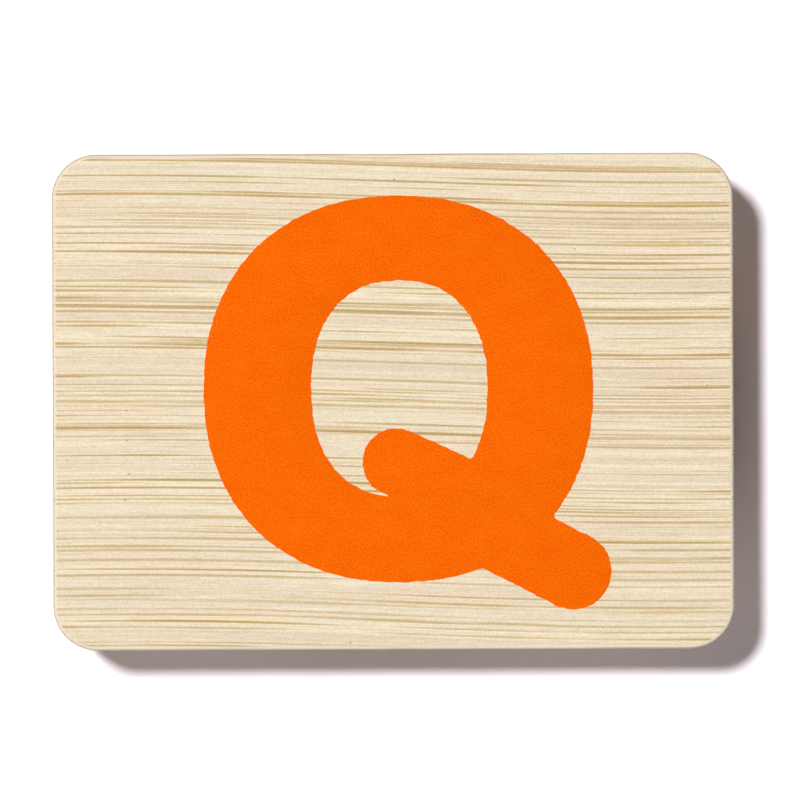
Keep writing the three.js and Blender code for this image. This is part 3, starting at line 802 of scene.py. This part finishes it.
nickel = metal_finish("nickel_plate", display(214, 210, 203), display(190, 185, 176))
for end, heading in (("front", 1), ("rear", -1)):
    cup_low, cup_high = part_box(f"magnet_cup_{end}")
    cup_depth = cup_high.x - cup_low.x
    cup_radius = (cup_high.z - cup_low.z) / 2
    coupling_height = (cup_high.z + cup_low.z) / 2
    face_x = cup_high.x if heading > 0 else cup_low.x
    cup_at = aimed((face_x - heading * cup_depth, 0.0, coupling_height), (heading, 0, 0))
    low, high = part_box(f"magnet_screw_{end}")
    screw_length = high.x - low.x
    screw_head = (high.z - low.z) / 2
    tip_x = low.x if heading > 0 else high.x
    screw_at = aimed((tip_x, 0.0, coupling_height), (heading, 0, 0))
    hole = MAGNET_SCREW_SHANK + SCREW_GAP
    inner = cup_radius - CUP_WALL
    cup_profile = eased([
        (hole, 0.0),
        (cup_radius, 0.0),
        (cup_radius, cup_depth),
        (inner, cup_depth),
        (inner, CUP_FLOOR),
        (hole, CUP_FLOOR),
    ], CUP_EASE)
    cup = turned(cup_profile, HOLE_SIDES, closed=True)
    add_piece(f"steel_cup_{end}", cup, zinc, "car_body", f"magnet_cup_{end}", cup_at)
    low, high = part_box(f"magnet_{end}")
    magnet_radius = (high.z - low.z) / 2
    magnet_at = cup_at @ Matrix.Translation((0, 0, CUP_FLOOR))
    magnet_top = cup_depth - CUP_FLOOR
    head_level = magnet_top - (abs(face_x - tip_x) - screw_length)
    countersink = screw_head + SCREW_GAP
    magnet_profile = eased([
        (hole, 0.0),
        (magnet_radius, 0.0),
        (magnet_radius, magnet_top),
        (countersink, magnet_top),
        (countersink, head_level),
        (hole, head_level - (countersink - hole)),
    ], CUP_EASE)
    magnet = turned(magnet_profile, HOLE_SIDES, closed=True)
    add_piece(f"nickel_magnet_{end}", magnet, nickel, "car_body", f"magnet_{end}", magnet_at)
    add_screw(f"zinc_magnet_screw_{end}", screw_length, MAGNET_SCREW_SHANK, screw_head, screw_at,
              f"magnet_screw_{end}")
    pocket = turned(bar(cup_radius + FIT_GAP, -FIT_GAP, 2 * cup_depth), HOLE_SIDES)
    beam_tools.append(cutter(pocket, cup_at))
    beam_tools.append(screw_tools(screw_length, MAGNET_SCREW_SHANK, screw_head, screw_at))
drilled(beam, beam_tools)
for tool in beam_tools:
    bpy.data.objects.remove(tool)


# Wheelsets
# Each axle is a bright drawn steel rod, pressed into the beam. On either side it carries a zinc-plated
# washer, a turned beech wheel that runs free on the rod, and a domed steel cap pushed onto the rod's end.
ROUND_SIDES = 96
WHEEL_EDGE = 0.9 * MM
WHEEL_RIM = 1.8 * MM
WHEEL_DISH = 0.7 * MM
WHEEL_DISH_SLOPE = 0.4 * MM
HUB_MARGIN = 0.4 * MM
RUNNING_CLEARANCE = 0.1 * MM
CAP_SKIRT = 1.2 * MM
CAP_BORE_DEPTH = 2.0 * MM
CAP_LIP = 0.35 * MM
AXLE_CHAMFER = 0.3 * MM
WASHER_EASE = 0.15 * MM
CAP_EASE = 0.12 * MM
CAP_STEPS = 12
DISH_EASE = 0.25 * MM
EDGE_STEPS = 8
NEXT_GRAIN_TURN = 1.9
NEXT_GRAIN_SHIFT = (31.0, 0.0, 13.0)

bright_steel = metal_finish("drawn_steel", display(198, 200, 203), display(170, 173, 177))
wheel_count = 0
for end in ("front", "rear"):
    low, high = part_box(f"axle_{end}")
    axle_radius = (high.z - low.z) / 2
    axle_middle = (low + high) / 2
    half = (high.y - low.y) / 2
    rod = turned(eased(bar(axle_radius, -half, half), AXLE_CHAMFER), HOLE_SIDES)
    rod_at = aimed(axle_middle, (0, 1, 0))
    add_piece(f"steel_axle_{end}", rod, bright_steel, "car_body", f"axle_{end}", rod_at)
    bore = axle_radius + RUNNING_CLEARANCE
    for side, outward in (("left", 1), ("right", -1)):
        where = f"{end}_{side}"
        low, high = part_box(f"washer_{where}")
        washer_radius = (high.z - low.z) / 2
        thickness = high.y - low.y
        inner_y = low.y if outward > 0 else high.y
        ring = [(bore, 0), (washer_radius, 0), (washer_radius, thickness), (bore, thickness)]
        washer = turned(eased(ring, WASHER_EASE), HOLE_SIDES, closed=True)
        washer_at = aimed((axle_middle.x, inner_y, axle_middle.z), (0, outward, 0))
        add_piece(f"zinc_washer_{where}", washer, zinc, "car_body", f"washer_{where}",
                  washer_at)

        cap_low, cap_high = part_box(f"axle_cap_{where}")
        cap_radius = (cap_high.z - cap_low.z) / 2
        cap_length = cap_high.y - cap_low.y
        cap_y = cap_low.y if outward > 0 else cap_high.y
        dome_radius = cap_radius - CAP_LIP
        dome_height = cap_length - CAP_SKIRT
        dome = []
        for step in range(CAP_STEPS):
            angle = math.pi / 2 * step / CAP_STEPS
            dome.append((dome_radius * math.cos(angle), CAP_SKIRT + dome_height * math.sin(angle)))
        cap_bore = axle_radius + FIT_GAP
        lip = [(cap_bore, 0), (cap_radius, 0), (cap_radius, CAP_LIP), (dome_radius, 1.6 * CAP_LIP), dome[0]]
        cap_profile = [(0, CAP_BORE_DEPTH), (cap_bore, CAP_BORE_DEPTH), (cap_bore, 0)]
        cap_profile += eased(lip, CAP_EASE)[1:-1] + dome + [(0, cap_length)]
        cap = turned(cap_profile, ROUND_SIDES)
        cap_at = aimed((axle_middle.x, cap_y, axle_middle.z), (0, outward, 0))
        add_piece(f"zinc_cap_{where}", cap, zinc, "car_body", f"axle_cap_{where}", cap_at)

        low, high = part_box(f"wheel_{where}")
        wheel_radius = (high.z - low.z) / 2
        wheel_width = high.y - low.y
        wheel_y = low.y if outward > 0 else high.y
        dish_outer = wheel_radius - WHEEL_RIM
        dish_inner = cap_radius + HUB_MARGIN
        floor_height = wheel_width - WHEEL_DISH
        face = eased([
            (bore, 0.0),
            (wheel_radius, 0.0),
            (wheel_radius, wheel_width),
            (dish_outer, wheel_width),
        ], WHEEL_EDGE, EDGE_STEPS)
        face += eased([
            (dish_outer, wheel_width),
            (dish_outer - WHEEL_DISH_SLOPE, floor_height),
            (dish_inner + WHEEL_DISH_SLOPE, floor_height),
            (dish_inner, wheel_width),
            (bore, wheel_width),
        ], DISH_EASE)[1:]
        wheel_count += 1
        turn = (0.0, 0.0, NEXT_GRAIN_TURN * wheel_count)
        shift = [step * wheel_count for step in NEXT_GRAIN_SHIFT]
        finish = beech_finish(f"beech_wheel_{where}", turn, shift)
        wheel = turned(face, ROUND_SIDES, closed=True)
        wheel_at = aimed((axle_middle.x, wheel_y, axle_middle.z), (0, outward, 0))
        add_piece(f"beech_wheel_{where}", wheel, finish, f"wheel_{where}_body", f"wheel_{where}",
                  wheel_at)


# Studio
# A plain white table under one small bright lamp high on the upper left and a soft pale sky. The table is
# white to the eye, keeps the car's shadow, and isn't seen from below.
LAMP_LEAN = Vector((-3.75, 2.95)) * MM
LAMP_OVER = 23.2 * MM
LAMP_SIZE = math.radians(4.0)
LAMP_STRENGTH = 2.6
SKY_STRENGTH = 0.085
FILL_LEAN = Vector((-0.7, -0.9, 1.0))
FILL_SIZE = math.radians(50)
FILL_STRENGTH = 0.3
TABLE_HALF = 4.0
TABLE_SHADE = 0.82
TABLE_SEEN = 1.25
TABLE_GREEN = 0.95


def seen_straight(tree):
    """One for rays that come straight from the camera or by a mirror or a pane, zero for others."""
    rays = tree.nodes.new("ShaderNodeLightPath").outputs
    by_glass = calc(tree, "MAXIMUM", rays["Is Glossy Ray"], rays["Is Transmission Ray"])
    return calc(tree, "MAXIMUM", rays["Is Camera Ray"], by_glass)


table_corners = [(TABLE_HALF * x, TABLE_HALF * y, 0) for x, y in ((-1, -1), (1, -1), (1, 1), (-1, 1))]
table_mesh = bpy.data.meshes.new("table")
table_mesh.from_pydata(table_corners, [], [(0, 1, 2, 3)])
table = bpy.data.objects.new("table", table_mesh)
bpy.context.scene.collection.objects.link(table)
table_paint = bpy.data.materials.new("table_white")
table_paint.use_nodes = True
tree = table_paint.node_tree
tree.nodes.remove(tree.nodes["Principled BSDF"])
shade = ramp(tree, seen_straight(tree), 0.0, 1.0, TABLE_SHADE, TABLE_SEEN)
green = calc(tree, "MULTIPLY", shade, TABLE_GREEN)
white = wire(tree, "ShaderNodeCombineColor", {"Red": shade, "Green": green, "Blue": shade}).outputs[0]
matt = wire(tree, "ShaderNodeBsdfDiffuse", {"Color": white}).outputs[0]
clear = tree.nodes.new("ShaderNodeBsdfTransparent").outputs[0]
behind = tree.nodes.new("ShaderNodeNewGeometry").outputs["Backfacing"]
from_camera = tree.nodes.new("ShaderNodeLightPath").outputs["Is Camera Ray"]
underside = calc(tree, "MULTIPLY", behind, from_camera)
surface = wire(tree, "ShaderNodeMixShader", {0: underside, 1: matt, 2: clear}).outputs[0]
tree.links.new(surface, tree.nodes["Material Output"].inputs["Surface"])
table_mesh.materials.append(table_paint)

key_lean = Vector((LAMP_LEAN.x, LAMP_LEAN.y, LAMP_OVER))
for lamp_name, lean, size, power in (
    ("key_lamp", key_lean, LAMP_SIZE, LAMP_STRENGTH),
    ("fill_lamp", FILL_LEAN, FILL_SIZE, FILL_STRENGTH),
):
    lamp_data = bpy.data.lights.new(lamp_name, "SUN")
    lamp_data.energy = power
    lamp_data.angle = size
    lamp = bpy.data.objects.new(lamp_name, lamp_data)
    bpy.context.scene.collection.objects.link(lamp)
    lamp.rotation_euler = lean.to_track_quat("Z", "Y").to_euler()

world = bpy.data.worlds.new("sky")
bpy.context.scene.world = world
world.use_nodes = True
tree = world.node_tree
background = tree.nodes["Background"]
background.inputs["Color"].default_value = (1.0, 1.0, 1.0, 1.0)
tree.links.new(ramp(tree, seen_straight(tree), 0.0, 1.0, SKY_STRENGTH, 1.0), background.inputs["Strength"])


# Camera
# Straight above the deck with a long lens, turned by a fifth of a degree, so that the deck shows as a plate
# 681 pixels long in an image of 800.
IMAGE_SIDE = 800
DECK_LENGTH_PIXELS = 681.5
DECK_CENTRE_PIXELS = Vector((393.0, 401.6))
CAMERA_HEIGHT = 1.6
CAMERA_ROLL = math.radians(-0.22)

pixel = deck_length / DECK_LENGTH_PIXELS
off_centre = Vector((IMAGE_SIDE / 2 - DECK_CENTRE_PIXELS.x, DECK_CENTRE_PIXELS.y - IMAGE_SIDE / 2)) * pixel
camera_data = bpy.data.cameras.new("camera")
camera_data.sensor_width = 36.0
camera_data.lens = camera_data.sensor_width * CAMERA_HEIGHT / (pixel * IMAGE_SIDE)
camera_data.clip_end = 100.0
camera = bpy.data.objects.new("camera", camera_data)
camera.location = (off_centre.x, off_centre.y, deck_high.z + CAMERA_HEIGHT)
camera.rotation_euler = (0.0, 0.0, CAMERA_ROLL)
bpy.context.scene.collection.objects.link(camera)
bpy.context.scene.camera = camera
bpy.context.scene.view_settings.view_transform = "Standard"
